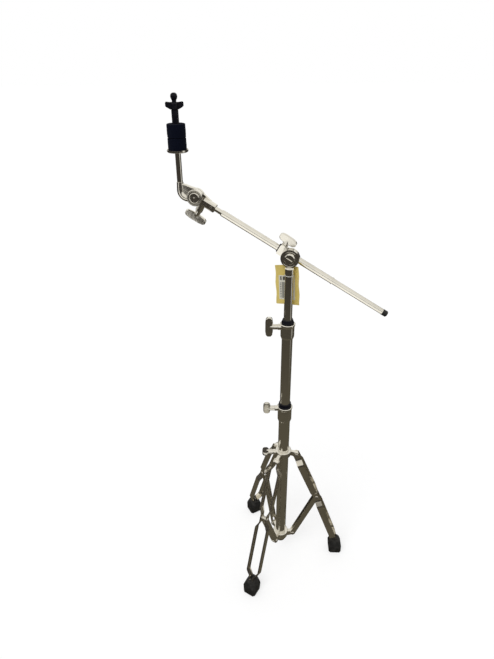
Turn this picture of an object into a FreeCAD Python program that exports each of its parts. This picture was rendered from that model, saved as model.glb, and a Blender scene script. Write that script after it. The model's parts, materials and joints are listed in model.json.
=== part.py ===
import FreeCAD, Part
import math
import os

import Sketcher

# Cymbal boom stand: a double-braced tripod, two telescoping tubes, a boom that tilts, slides and
# rolls in its clamp, and a tilting post that holds a cymbal between felts.
# Millimetres. +Z is up, the origin is on the floor on the axis of the tubes, and leg 1 points along +X.

SIZES = [
    # The tripod's linkage. Leg and brace make a rhombus with the tube, so both hubs share one radius.
    ("pivot_radius", 35.0, "tube axis to the hub pivots"),
    ("low_pivot_z", 72.0, "height of the lower hub's pivots"),
    ("link_span", 165.0, "pivot to pivot, for the brace and for the leg above it"),
    ("link_lean", 21.9, "lean of the leg's upper part, degrees from the tube"),
    ("shin_lean", 19.7, "lean of the leg's lower part, degrees from the tube"),
    ("strip_breadth", 17.0, "breadth of a leg strip"),
    ("strip_web", 1.8, "sheet thickness of a leg strip"),
    ("strip_flat", 2.2, "thickness of a leg strip where it is pinched flat"),
    ("strip_lip", 3.4, "depth of a leg strip's folded edges"),
    ("thigh_bow", 16.5, "half width of the upper pair of strips"),
    ("shin_bow", 18.5, "half width of the lower pair of strips"),
    ("ankle_half", 6.0, "half width of the pair where the foot holds it"),
    ("ankle_rise", 9.0, "bend above the foot where the strips come together"),
    ("ankle_taper", 15.0, "length over which the strips come together there"),
    ("bend_round", 12.0, "bending radius of the strips"),
    ("strip_end_z", 13.4, "height of the strips' lower ends"),
    ("link_gap", 0.3, "side clearance in the hinges"),
    ("pin_fit", 0.06, "radial clearance of the hinge pins"),
    ("hub_pin_r", 3.0, "radius of the hub pins"),
    ("knee_pin_r", 3.5, "radius of the pins that join leg and brace"),
    ("pin_head_r", 5.2, "radius of the pins' heads"),
    ("pin_head", 1.6, "height of the pins' heads"),
    ("brace_breadth", 15.0, "breadth of a brace"),
    ("brace_width", "lower_ear_width + 2 * ear_gap + 2 * brace_sheet", "width of a brace over its cheeks"),
    ("ear_gap", 0.4, "clearance between a brace's cheeks and the lower hub's ear"),
    ("brace_sheet", 1.6, "sheet thickness of a brace"),
    ("brace_mouth", 13.0, "length of a brace's open ends"),
    # Hubs.
    ("hub_ring_r", "base_tube_r + hub_wall", "outside radius of the hub rings"),
    ("hub_wall", 5.5, "hub ring's wall round the base tube"),
    ("upper_hub_bore_gap", 0.25, "clearance between the sliding hub and the tube"),
    ("upper_ear_width", 8.0, "thickness of the sliding hub's ears"),
    ("upper_ring_rise", 16.0, "sliding hub's ring above its pivots"),
    ("upper_ring_drop", 2.0, "sliding hub's ring below its pivots"),
    ("lower_ear_width", 10.0, "thickness of the lower hub's ears"),
    ("lower_ring_rise", 8.0, "lower hub's ring above its pivots"),
    ("lower_ring_drop", 14.0, "lower hub's ring below its pivots"),
    ("ear_r", 7.6, "end radius of the hub ears"),
    # Rubber feet.
    ("foot_long", 37.5, "length of a foot along the leg's direction"),
    ("foot_wide", 37.5, "width of a foot"),
    ("foot_height", 47.0, "height of a foot"),
    ("foot_inset", 14.0, "foot's middle inside the point where the leg's line meets the floor"),
    ("foot_top_long", 28.0, "length of a foot's mouth"),
    ("foot_top_wide", 26.0, "width of a foot's mouth"),
    ("foot_floor", 10.0, "rubber under the strips"),
    ("foot_fit", 0.3, "clearance between strips and foot"),
    # Tubes and collars.
    ("base_tube_r", "middle_tube_r + base_slide + base_wall", "base tube outside radius"),
    ("base_slide", 0.4, "clearance between middle tube and base tube"),
    ("middle_tube_r", "upper_tube_r + middle_slide + middle_wall", "middle tube outside radius"),
    ("middle_slide", 1.975, "clearance between upper tube and middle tube"),
    ("upper_tube_r", 9.525, "upper tube outside radius"),
    ("base_wall", 1.2, "base tube wall"),
    ("middle_wall", 1.2, "middle tube wall"),
    ("upper_wall", 1.5, "upper tube wall"),
    ("base_tube_low", 49.0, "height of the base tube's lower end"),
    ("base_tube_top", 521.0, "height of the base tube's upper end"),
    ("middle_tube_low", 249.0, "height of the middle tube's lower end"),
    ("middle_tube_top", 757.7, "height of the middle tube's upper end"),
    ("upper_tube_low", 467.0, "height of the upper tube's lower end"),
    ("collar_rise", 18.0, "collar above its tube's end"),
    ("base_grip", 26.0, "base collar's length on its tube"),
    ("middle_grip", 20.0, "middle collar's length on its tube"),
    ("collar_wall", 3.2, "collar body wall"),
    ("collar_rim", 1.5, "collar rim beyond its body"),
    ("press_gap", 0.04, "radial gap of pieces fixed on a tube"),
    ("bush_gap", 0.1, "radial running gap between bushing and sliding tube"),
    ("bush_wall", 2.0, "wall of a bushing's sleeve"),
    ("turn_gap", 0.3, "gap round pieces that turn"),
    ("bush_height", 9.5, "height of a bushing above its collar"),
    ("bush_flange", 3.0, "height of a bushing's flange"),
    ("base_screw_drop", 7.5, "base collar's screw below its rim"),
    ("middle_screw_drop", 10.2, "middle collar's screw below its rim"),
    ("boss_r", 7.0, "radius of the bosses that take clamp screws"),
    ("base_boss_reach", 25.5, "tube axis to the base collar's boss face"),
    ("middle_boss_reach", 22.5, "tube axis to the middle collar's boss face"),
    ("hub_boss_reach", 27.0, "tube axis to the sliding hub's boss face"),
    # Wing bolts.
    ("screw_r", 4.0, "radius of the M8 clamp screws"),
    ("screw_fit", 0.06, "radial clearance of the screws in their threads"),
    ("wing_hub_r", 6.2, "radius of a wing bolt's hub"),
    ("wing_hub", 11.0, "length of a wing bolt's hub"),
    ("short_wing_hub", 3.6, "length of the boom clamp's wing bolt hub"),
    ("boom_wing_turn", -8.0, "turn of the boom clamp's wing bolt, degrees"),
    ("wing_span", 50.0, "span of a wing bolt"),
    ("wing_deep", 17.5, "depth of the wings along the screw"),
    ("wing_thick", 7.5, "thickness of the wings"),
    ("wing_bevel", 1.5, "bevel round the wings' faces"),
    ("boom_wing_span", 41.0, "span of the boom clamp's wing bolt"),
    ("base_wing_turn", -24.0, "turn of the base collar's wing bolt, degrees"),
    ("hub_wing_turn", 114.0, "turn of the sliding hub's wing bolt, degrees"),
    ("tilter_wing_hub", 7.5, "length of the cymbal tilter's wing bolt hub"),
    # Boom tilter on the upper tube.
    ("tilter_z", 932.0, "height of the boom's tilt axis"),
    ("boom_heading", 169.4, "heading of the boom from +X, degrees"),
    ("boom_rise", 29.3, "rise of the boom, degrees"),
    ("tilter_r", 20.0, "radius of the boom tilter's discs"),
    ("disc_front", 4.0, "front face of the fixed disc from the tube axis"),
    ("disc_back", 3.0, "back face of the fixed disc from the tube axis"),
    ("brake_gap", 0.3, "running gap between disc and friction washer"),
    ("brake_thick", 0.8, "friction washer"),
    ("head_disc", 6.4, "thickness of the tilting disc"),
    ("ferrule_r", "upper_tube_r + ferrule_wall", "radius of the ferrule on the upper tube"),
    ("ferrule_wall", 0.875, "ferrule's wall round the tube"),
    ("ferrule_top", "tilter_r + ferrule_gap", "ferrule's top below the tilt axis"),
    ("ferrule_gap", 0.4, "gap between the tilting disc's rim and the ferrule"),
    ("ferrule_low", "ferrule_top + ferrule_long", "ferrule's lower edge below the tilt axis"),
    ("ferrule_long", 13.6, "length of the ferrule"),
    ("ferrule_roof", 4.0, "thickness of the ferrule's roof"),
    ("neck_width", 13.0, "width of the neck under the fixed disc"),
    ("pivot_bolt_r", 4.0, "radius of the tilters' pivot bolts"),
    ("pivot_cap_r", 11.5, "radius of the boom tilter's bolt head"),
    ("pivot_cap", 4.4, "height of the boom tilter's bolt head"),
    ("boom_offset", 22.5, "boom axis behind the tube axis"),
    ("boom_drop", 2.0, "boom axis below the tilt axis"),
    ("clamp_r", "boom_r + bush_gap + liner_wall + clamp_wall", "radius of the boom clamp"),
    ("clamp_wall", 1.35, "clamp's wall and play over its liner"),
    ("clamp_front", 31.0, "front end of the boom clamp"),
    ("clamp_back", 16.0, "back end of the boom clamp"),
    ("clamp_screw_x", 23.0, "clamp screw ahead of the tilt axis"),
    ("clamp_boss_top", 14.0, "top of the clamp's boss above the boom axis"),
    ("liner_wall", 1.45, "wall of the clamp's liner"),
    ("liner_lip", 1.6, "thickness of the liner's lips"),
    # Boom.
    ("boom_r", 7.0, "radius of the boom's front tube"),
    ("boom_wall", 1.4, "wall of the boom's front tube"),
    ("boom_back_r", 6.35, "radius of the boom's back rod"),
    ("boom_front_x", 173.0, "front end of the boom tube, along the boom from the tilt axis"),
    ("boom_step_x", 107.0, "back end of the front tube, behind the tilt axis"),
    ("boom_back_x", 243.0, "back end of the back rod, behind the tilt axis"),
    ("stop_ring_r", "boom_r + stop_ring_wall", "radius of the stop ring"),
    ("stop_ring_wall", 0.6, "wall of the stop ring"),
    ("stop_ring", 2.5, "width of the stop ring"),
    ("end_cap", 4.5, "length of the boom's end cap beyond the rod"),
    ("end_cap_grip", 7.5, "length of the end cap on the rod"),
    ("spigot_r", 5.4, "radius of the rod in the boom's front end"),
    # Cymbal tilter at the boom's front end.
    ("socket_x", "boom_front_x + front_rod", "back face of the tilter's socket along the boom"),
    ("front_rod", 17.0, "boom tube to the socket, along the front rod"),
    ("socket_r", 8.5, "radius of the socket"),
    ("head_x", "socket_x + head_reach", "cymbal tilter's axis along the boom"),
    ("head_reach", 48.0, "socket's back face to the cymbal tilter's axis"),
    ("head_r", 17.5, "radius of the cymbal tilter's discs"),
    ("head_thick", 7.4, "thickness of the fixed disc"),
    ("arm_thick", 12.0, "thickness of the tilting disc"),
    ("head_screw_x", "head_x - head_screw_back", "wing bolt of the cymbal tilter along the boom"),
    ("head_screw_back", 17.0, "cymbal tilter's axis to its wing bolt"),
    ("head_boss", 27.5, "length of the boss under the socket"),
    ("head_boss_r", 8.0, "radius of that boss"),
    ("head_cap_r", 11.2, "radius of the cymbal tilter's bolt head"),
    ("post_x", 32.0, "post axis ahead of the cymbal tilter's axis"),
    ("post_y", 4.0, "post axis in front of the boom's plane"),
    ("post_r", 6.0, "radius of the post"),
    ("arm_collar_r", "post_r + arm_collar_wall", "radius of the arm's collar at its top"),
    ("arm_collar_wall", 0.9, "wall of the arm's collar at its top"),
    ("elbow_r", "post_r + elbow_wall", "radius of the arm's elbow"),
    ("elbow_wall", 1.7, "wall of the arm's elbow round the post"),
    ("elbow_bend", 16.0, "bending radius of the elbow's middle"),
    ("elbow_top", 14.0, "start of the bend above the tilter's axis"),
    ("arm_collar_top", 31.5, "top of that collar above the tilter's axis"),
    ("post_top", 91.4, "top of the post above the tilter's axis"),
    ("rod_r", 3.0, "radius of the threaded rod"),
    ("rod_top", "tip_low + tip_r + rod_tip", "top of the threaded rod above the tilter's axis"),
    ("rod_tip", 2.0, "rod's end above the ball's middle"),
    ("cup_r", "felt_r + cup_margin + cup_sheet", "radius of the metal cup under the felts"),
    ("cup_margin", 1.1, "clearance round the felt in the cup"),
    ("cup_rim", 5.0, "height of the cup's rim"),
    ("cup_sheet", 1.4, "sheet thickness of the cup"),
    ("felt_r", 19.3, "radius of the felts"),
    ("felt", 26.2, "thickness of a felt"),
    ("felt_gap", 0.3, "gap between the two felts"),
    ("sleeve_r", 7.0, "radius of the cymbal sleeve"),
    ("sleeve_step", 0.3, "how much thinner the sleeve is inside the felts"),
    ("sleeve_bore_gap", 0.3, "gap between sleeve and rod"),
    ("sleeve_top", 170.4, "top of the sleeve above the tilter's axis"),
    ("nut_height", 14.0, "height of the wing nut's body"),
    ("nut_r", 7.4, "radius of the wing nut's body"),
    ("nut_span", 36.0, "span of the wing nut"),
    ("nut_wing", 6.0, "thickness of the nut's wings"),
    ("insert_r", 5.0, "radius of the nut's threaded insert"),
    ("insert_long", 7.0, "length of the nut's threaded insert"),
    ("neck_r", 4.4, "radius of the wing nut's neck"),
    ("tip_r", 6.8, "radius of the wing nut's ball"),
    ("tip_low", "sleeve_top + turn_gap + nut_height + tip_neck", "underside of that ball above the tilter's axis"),
    ("tip_neck", 3.5, "wing nut's top to the ball"),
    # Hang tag behind the upper tube.
    ("tag_wide", 53.0, "width of the tag"),
    ("tag_tall", 94.0, "height of the tag"),
    ("tag_thick", 0.4, "thickness of the tag"),
    ("tag_gap", 0.2, "gap between the ferrule and the tag"),
    ("eyelet_r", 2.5, "radius of the tag's eyelet"),
    ("tag_side", 4.5, "tag's centre ahead of the tube axis"),
    ("tag_low", 68.0, "tag's centre below the tilt axis"),
    ("tag_roll", 3.0, "roll of the tag, degrees"),
    ("tie_gap", 0.15, "gap between the upper tube and the tie's loop"),
    ("tie_wide", 0.8, "width of the tie's strap"),
    ("tie_tall", 1.0, "height of the tie's strap"),
    ("tie_tip", 0.95, "how far the loop's tip stands through the eyelet"),
    ("tie_low", 38.0, "tie below the tilt axis"),
    ("label_wide", 36.0, "width of the label on the tag"),
    ("label_tall", 58.0, "height of the label on the tag"),
]

doc = FreeCAD.newDocument("cymbal_boom_stand")
sheet = doc.addObject("Spreadsheet::Sheet", "dims")


class Size:
    """A number and the sheet expression that gives it."""

    def __init__(self, value, text):
        self.value = float(value)
        self.text = text

    def __add__(self, other):
        other = as_size(other)
        return Size(self.value + other.value, "(%s + %s)" % (self.text, other.text))

    def __sub__(self, other):
        other = as_size(other)
        return Size(self.value - other.value, "(%s - %s)" % (self.text, other.text))

    def __mul__(self, other):
        other = as_size(other)
        return Size(self.value * other.value, "(%s * %s)" % (self.text, other.text))

    def __truediv__(self, other):
        other = as_size(other)
        return Size(self.value / other.value, "(%s / %s)" % (self.text, other.text))

    def __neg__(self):
        return Size(-self.value, "(-1 * %s)" % self.text)

    __radd__ = __add__
    __rmul__ = __mul__

    def __rsub__(self, other):
        return as_size(other) - self


def as_size(number):
    if isinstance(number, Size):
        return number
    return Size(number, "(%r)" % float(number))


def sine(angle):
    return Size(math.sin(math.radians(angle.value)), "sin(%s)" % angle.text)


def cosine(angle):
    return Size(math.cos(math.radians(angle.value)), "cos(%s)" % angle.text)


def tangent(angle):
    return Size(math.tan(math.radians(angle.value)), "tan(%s)" % angle.text)


def square_root(number):
    return Size(math.sqrt(number.value), "sqrt(%s)" % number.text)


class Dimensions:
    """The sheet's sizes by name."""


def fill_sheet():
    """Writes the sizes to the sheet. One given as text is a formula of others, so it follows them."""
    for row, (alias, value, note) in enumerate(SIZES, start=1):
        sheet.set("A%d" % row, note)
        sheet.setAlias("B%d" % row, alias)
    for row, (alias, value, note) in enumerate(SIZES, start=1):
        sheet.set("B%d" % row, "=" + value if isinstance(value, str) else repr(value))
    doc.recompute()
    dims = Dimensions()
    for alias, value, note in SIZES:
        setattr(dims, alias, Size(sheet.get(alias), "dims." + alias))
    return dims


D = fill_sheet()
nodes = []


# ---------------------------------------------------------------- modelling helpers

def new_body(label):
    body = doc.addObject("PartDesign::Body", label)
    body.Label = label
    return body


def plane_of(body, role):
    for feature in body.Origin.OriginFeatures:
        if feature.Role == role:
            return feature
    raise ValueError(role)


def bind(feature, name, size):
    size = as_size(size)
    setattr(feature, name, size.value)
    feature.setExpression(name, size.text)


def new_sketch(body, name, role, offset=0):
    sketch = body.newObject("Sketcher::SketchObject", body.Label + "_" + name)
    sketch.AttachmentSupport = [(plane_of(body, role), "")]
    sketch.MapMode = "FlatFace"
    sketch.AttachmentOffset = FreeCAD.Placement(
        FreeCAD.Vector(0, 0, as_size(offset).value), FreeCAD.Rotation())
    sketch.setExpression("AttachmentOffset.Base.z", as_size(offset).text)
    return sketch


def pin_point(sketch, line, end, x, y):
    """Ties a point of the sketch to its origin by two distances."""
    for kind, axis, size in (("DistanceX", -2, as_size(x)), ("DistanceY", -1, as_size(y))):
        if abs(size.value) < 1e-9:
            sketch.addConstraint(Sketcher.Constraint("PointOnObject", line, end, axis))
            continue
        index = sketch.addConstraint(Sketcher.Constraint(kind, -1, 1, line, end, size.value))
        sketch.setExpression("Constraints[%d]" % index, size.text)


def polygon(sketch, points):
    points = [(as_size(x), as_size(y)) for x, y in points]
    corners = [FreeCAD.Vector(x.value, y.value, 0) for x, y in points]
    count = len(corners)
    first = sketch.GeometryCount
    for i in range(count):
        sketch.addGeometry(Part.LineSegment(corners[i], corners[(i + 1) % count]), False)
    for i in range(count):
        sketch.addConstraint(
            Sketcher.Constraint("Coincident", first + i, 2, first + (i + 1) % count, 1))
    for i, (x, y) in enumerate(points):
        pin_point(sketch, first + i, 1, x, y)


def circle(sketch, x, y, radius):
    x, y, radius = as_size(x), as_size(y), as_size(radius)
    curve = Part.Circle(FreeCAD.Vector(x.value, y.value, 0), FreeCAD.Vector(0, 0, 1), radius.value)
    line = sketch.addGeometry(curve, False)
    index = sketch.addConstraint(Sketcher.Constraint("Radius", line, radius.value))
    sketch.setExpression("Constraints[%d]" % index, radius.text)
    pin_point(sketch, line, 3, x, y)


def draw(sketch, shape):
    """A shape is a list of corners, or a (x, y, radius) circle."""
    if isinstance(shape, tuple):
        circle(sketch, *shape)
    else:
        polygon(sketch, shape)


# Each plane's normal, as the sign it has along its axis: a pad follows it, a pocket goes against it.
NORMALS = {"XY_Plane": 1, "XZ_Plane": -1, "YZ_Plane": 1}


def slab(body, name, role, low, high, *shapes, cut=False):
    """Pads (or cuts) flat shapes from low to high along the axis square to the plane."""
    start = low if (NORMALS[role] > 0) != cut else high
    sketch = new_sketch(body, name + "_sketch", role, as_size(start) * NORMALS[role])
    for shape in shapes:
        draw(sketch, shape)
    kind = "PartDesign::Pocket" if cut else "PartDesign::Pad"
    feature = body.newObject(kind, body.Label + "_" + name)
    feature.Profile = sketch
    feature.Type = "Length"
    bind(feature, "Length", as_size(high) - low)
    return feature


def turned(body, name, axis, *outlines, cut=False):
    """Turns outlines about an axis. Their points are (radius, height) along Z or Y, (x, radius) along X."""
    role = {"Z": "XZ_Plane", "Y": "XY_Plane", "X": "XY_Plane"}[axis]
    sketch = new_sketch(body, name + "_sketch", role)
    for outline in outlines:
        draw(sketch, outline)
    kind = "PartDesign::Groove" if cut else "PartDesign::Revolution"
    feature = body.newObject(kind, body.Label + "_" + name)
    feature.Profile = sketch
    feature.ReferenceAxis = (sketch, ["H_Axis" if axis == "X" else "V_Axis"])
    feature.Angle = 360
    return feature


def rounded(body, name, radius, chosen, kind="PartDesign::Fillet"):
    """Fillets (or chamfers) the tip's edges that the chosen test picks."""
    doc.recompute()
    base = body.Tip
    names = ["Edge%d" % i for i, edge in enumerate(base.Shape.Edges, start=1) if chosen(edge)]
    if not names:
        raise ValueError("no edge to round on " + body.Label)
    feature = body.newObject(kind, body.Label + "_" + name)
    feature.Base = (base, names)
    bind(feature, "Radius" if kind.endswith("Fillet") else "Size", radius)
    return feature


def lofted(body, name, sketches, kind="PartDesign::AdditiveLoft"):
    """Joins sketches, in order, with straight walls."""
    loft = body.newObject(kind, body.Label + "_" + name)
    loft.Profile = sketches[0]
    loft.Sections = sketches[1:]
    loft.Ruled = True
    return loft


def elbow(body, name, x, y, z, radius, bend):
    """A round bar's quarter bend: from straight down at (x, y, z) towards -X."""
    sketch = new_sketch(body, name + "_sketch", "XY_Plane", z)
    circle(sketch, x, y, radius)
    pivot = as_size(x) - bend
    line = sketch.addGeometry(Part.LineSegment(
        FreeCAD.Vector(pivot.value, 0, 0), FreeCAD.Vector(pivot.value, 10, 0)), True)
    pin_point(sketch, line, 1, pivot, 0)
    pin_point(sketch, line, 2, pivot, 10)
    feature = body.newObject("PartDesign::Revolution", body.Label + "_" + name)
    feature.Profile = sketch
    feature.ReferenceAxis = (sketch, ["Axis0"])
    feature.Angle = 90
    return feature


def spun_three(body, name, features):
    """Repeats features at thirds of a turn about Z."""
    pattern = body.newObject("PartDesign::PolarPattern", body.Label + "_" + name)
    pattern.Originals = features
    pattern.Axis = (plane_of(body, "Z_Axis"), [""])
    pattern.Angle = 360
    pattern.Occurrences = 3
    body.Tip = pattern
    return pattern


def edge_on(axis, value):
    """Picks edges whose every point has that coordinate."""
    level = as_size(value).value

    def chosen(edge):
        places = [getattr(edge.valueAt(t), axis) for t in edge.ParameterRange]
        middle = edge.valueAt(sum(edge.ParameterRange) / 2)
        return all(abs(place - level) < 1e-4 for place in places + [getattr(middle, axis)])

    return chosen


def ring_edge(radius):
    """Picks circular edges of that radius."""
    size = as_size(radius).value

    def chosen(edge):
        return hasattr(edge.Curve, "Radius") and abs(edge.Curve.Radius - size) < 1e-4

    return chosen


def placed(x=0, y=0, z=0, axis=(0, 0, 1), angle=0):
    """A placement from sizes: a turn about an axis, then a shift."""
    shift = FreeCAD.Vector(as_size(x).value, as_size(y).value, as_size(z).value)
    return FreeCAD.Placement(shift, FreeCAD.Rotation(FreeCAD.Vector(*axis), as_size(angle).value))


def finished(part, *frames):
    """Places a sub-part by a chain of frames, outermost first, and lists it as a node."""
    placement = FreeCAD.Placement()
    for frame in frames:
        placement = placement.multiply(frame)
    part.Placement = placement
    nodes.append(part)
    return part


# ---------------------------------------------------------------- frames

# Pole frame: +X along the boom's heading, +Y to the side the bolt heads face, origin on the tilt axis.
POLE = placed(z=D.tilter_z).multiply(placed(angle=D.boom_heading))
# Head frame: the same, tilted so that +X runs up along the boom.
HEAD = POLE.multiply(placed(axis=(0, 1, 0), angle=-D.boom_rise))
# Boom frame: its X axis is the boom's axis.
BOOM = HEAD.multiply(placed(y=-D.boom_offset, z=-D.boom_drop))
# Post frame: on the cymbal tilter's axis, upright again.
POST = BOOM.multiply(placed(x=D.head_x)).multiply(placed(axis=(0, 1, 0), angle=D.boom_rise))

HIGH_PIVOT_Z = D.low_pivot_z + 2 * D.link_span * cosine(D.link_lean)
KNEE_R = D.pivot_radius + D.link_span * sine(D.link_lean)
KNEE_Z = D.low_pivot_z + D.link_span * cosine(D.link_lean)
FOOT_R = KNEE_R + KNEE_Z * tangent(D.shin_lean) - D.foot_inset


def leg_turn(leg):
    return placed(angle=120 * leg)


# ---------------------------------------------------------------- tubes, collars and bushings

def tube(label, radius, wall, low, top):
    body = new_body(label)
    turned(body, "wall", "Z", [
        (radius - wall, low), (radius, low), (radius, top), (radius - wall, top)])
    return finished(body)


def collar(label, tube_r, inner_r, tube_top, grip, boss_reach, screw_drop):
    """A clamp collar over a tube's end, with a boss for its screw towards -X."""
    body = new_body(label)
    low = tube_top - grip
    top = tube_top + D.collar_rise
    bore = tube_r + D.press_gap
    outer = tube_r + D.collar_wall
    rim = outer + D.collar_rim
    seat = inner_r + D.bush_gap + D.bush_wall + D.turn_gap
    turned(body, "shell", "Z", [
        (bore, low), (outer - 1.6, low), (outer, low + 5), (outer, top - 8), (rim - 0.4, top - 5.5),
        (rim, top - 4.5), (rim, top - 1.2), (rim - 1.2, top), (seat, top), (seat, tube_top),
        (bore, tube_top)])
    screw_z = top - screw_drop
    slab(body, "boss", "YZ_Plane", -boss_reach, -(outer - 2), (0, screw_z, D.boss_r))
    rounded(body, "boss_round", 1.2, edge_on("x", -boss_reach))
    slab(body, "screw_hole", "YZ_Plane", -(boss_reach + 1), 0, (0, screw_z, D.screw_r + D.screw_fit),
         cut=True)
    return finished(body)


def bushing(label, tube_r, inner_r, tube_top):
    """The liner between a collar and the tube that slides in it."""
    body = new_body(label)
    collar_top = tube_top + D.collar_rise
    bore = inner_r + D.bush_gap
    sleeve = bore + D.bush_wall
    flange = tube_r + D.collar_wall - 1.2
    low = tube_top + D.turn_gap
    foot = collar_top + D.turn_gap
    top = foot + D.bush_height
    turned(body, "liner", "Z", [
        (bore, low), (sleeve, low), (sleeve, foot), (flange - 0.8, foot), (flange, foot + 0.8),
        (flange, foot + D.bush_flange - 0.8), (flange - 0.8, foot + D.bush_flange), (sleeve + 0.3, top),
        (bore, top)])
    return finished(body)


def wing_bolt(label, reach, stem, span, *frames):
    """A screw with an oval paddle. Local +X points out of the boss, whose face is at x = 0."""
    body = new_body(label)
    low = as_size(stem)
    high = low + D.wing_deep
    half = as_size(span) / 2
    face = D.wing_thick / 2
    turned(body, "paddle", "X", [
        (low, 0), (low, half * 0.45), (low + 1.5, half - 4), (low + 5, half), (high - 5, half),
        (high - 1.5, half - 4), (high, half * 0.45), (high, 0)])
    for name, near, far in (("near_side", face, half + 1), ("far_side", -half - 1, -face)):
        slab(body, name, "XZ_Plane", near, far, [
            (low - 1, -half - 1), (high + 1, -half - 1), (high + 1, half + 1), (low - 1, half + 1)], cut=True)
    near_rim, far_rim = edge_on("y", face), edge_on("y", -face)
    rounded(body, "bevels", D.wing_bevel, lambda edge: near_rim(edge) or far_rim(edge), "PartDesign::Chamfer")
    turned(body, "screw", "X", [
        (-reach, 0), (-reach, D.screw_r - 1), (1 - reach, D.screw_r), (D.turn_gap, D.screw_r),
        (D.turn_gap, D.wing_hub_r), (low + 1, D.wing_hub_r), (low + 8, face), (low + 8, 0)])
    return finished(body, *frames)


def base_tube_plug():
    body = new_body("base_tube_plug")
    bore = D.base_tube_r - D.base_wall - D.press_gap
    low = D.base_tube_low
    turned(body, "plug", "Z", [
        (0, low - 3), (D.base_tube_r - 1.5, low - 3), (D.base_tube_r, low - 1.5), (D.base_tube_r, low),
        (bore, low), (bore, low + 12), (0, low + 12)])
    return finished(body)


# ---------------------------------------------------------------- tripod

def hub(label, pivot_z, rise, drop, ear_width, bore, with_boss):
    body = new_body(label)
    low = pivot_z - drop
    top = pivot_z + rise
    ring = D.hub_ring_r
    turned(body, "ring", "Z", [
        (bore, low), (ring - 1.5, low), (ring, low + 1.5), (ring, top - 4), (ring + 1, top - 3),
        (ring + 1, top - 1), (ring, top), (bore, top)])
    half = ear_width / 2
    ear = slab(body, "ear", "XZ_Plane", -half, half, [
        (ring - 2, low + 1), (D.pivot_radius, pivot_z - D.ear_r), (D.pivot_radius, pivot_z + D.ear_r),
        (ring - 2, top - 4)])
    eye = slab(body, "eye", "XZ_Plane", -half, half, (D.pivot_radius, pivot_z, D.ear_r))
    hole = slab(body, "pin_hole", "XZ_Plane", -half - 1, half + 1,
                (D.pivot_radius, pivot_z, D.hub_pin_r + D.pin_fit), cut=True)
    spun_three(body, "ears", [ear, eye, hole])
    if with_boss:
        screw_z = (low + top) / 2
        slab(body, "boss", "YZ_Plane", -D.hub_boss_reach, -(ring - 2), (0, screw_z, D.boss_r))
        slab(body, "screw_hole", "YZ_Plane", -(D.hub_boss_reach + 1), 0,
             (0, screw_z, D.screw_r + D.screw_fit), cut=True)
    return finished(body)


def pins(label, x, z, radius, reach, spacer_r=None, spacer_half=0, ring_of_three=False):
    """Hinge pins along Y with a head at each end, one alone or one at each ear of a hub."""
    body = new_body(label)
    body.AllowCompound = True
    features = [slab(body, "shank", "XZ_Plane", -reach, reach, (x, z, radius))]
    if spacer_r is not None:
        features.append(slab(body, "spacer", "XZ_Plane", -spacer_half, spacer_half, (x, z, spacer_r)))
    for name, low, high in (("near_head", -reach - D.pin_head, -reach), ("far_head", reach, reach + D.pin_head)):
        features.append(slab(body, name, "XZ_Plane", low, high, (x, z, D.pin_head_r)))
    if ring_of_three:
        spun_three(body, "three", features)
    end = (as_size(reach) + D.pin_head).value

    def outer_rim(edge):
        return ring_edge(D.pin_head_r)(edge) and at_distance(edge, end, ring_of_three)

    rounded(body, "domes", D.pin_head - 0.4, outer_rim)
    return body


def at_distance(edge, end, turned_ears):
    """Says whether a ring's plane lies that far from its ear's middle plane."""
    turns = (0, 120, 240) if turned_ears else (0,)
    for turn in turns:
        side = FreeCAD.Vector(-math.sin(math.radians(turn)), math.cos(math.radians(turn)), 0)
        if abs(abs(edge.Curve.Center.dot(side)) - end) < 1e-4 and abs(abs(edge.Curve.Axis.dot(side)) - 1) < 1e-4:
            return True
    return False


def brace(leg):
    """A folded channel from the lower hub's ear to the knee. Local +Z runs up the brace."""
    body = new_body("brace_%d" % (leg + 1))
    span = D.link_span
    end = D.brace_breadth / 2
    half = D.brace_width / 2
    slab(body, "bar", "XZ_Plane", -half, half, [(-end, 0), (end, 0), (end, span), (-end, span)])
    slab(body, "low_eye", "XZ_Plane", -half, half, (0, 0, end))
    slab(body, "high_eye", "XZ_Plane", -half, half, (0, span, end))
    rounded(body, "edges", 1.4, brace_corners(half, end))
    inside = half - D.brace_sheet
    out = end + 1
    back = end - D.brace_sheet
    mouth = D.brace_mouth
    slab(body, "channel", "XZ_Plane", -inside, inside, [
        (-out, -out), (out, -out), (out, mouth), (back, mouth), (back, span - mouth),
        (out, span - mouth), (out, span + out), (-out, span + out)], cut=True)
    slab(body, "low_hole", "XZ_Plane", -half - 1, half + 1, (0, 0, D.hub_pin_r + D.pin_fit), cut=True)
    slab(body, "high_hole", "XZ_Plane", -half - 1, half + 1, (0, span, D.knee_pin_r + D.pin_fit), cut=True)
    return finished(body, leg_turn(leg), placed(x=D.pivot_radius, z=D.low_pivot_z),
                    placed(axis=(0, 1, 0), angle=D.link_lean))


def brace_corners(half, end):
    """Picks the brace's two long outer edges."""
    def chosen(edge):
        middle = edge.valueAt(sum(edge.ParameterRange) / 2)
        return (edge.Length > 50 and abs(abs(middle.y) - half.value) < 1e-4
                and abs(middle.x - end.value) < 1e-4)
    return chosen


def leg_frame(leg):
    """Origin on the knee pin, +Z up the leg's upper part, +X out."""
    knee = placed(x=KNEE_R, z=KNEE_Z)
    return [leg_turn(leg), knee, placed(axis=(0, 1, 0), angle=-D.link_lean)]


SHIN_BEND = D.link_lean - D.shin_lean
SHIN_LENGTH = (KNEE_Z - D.strip_end_z) / cosine(D.shin_lean)


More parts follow.
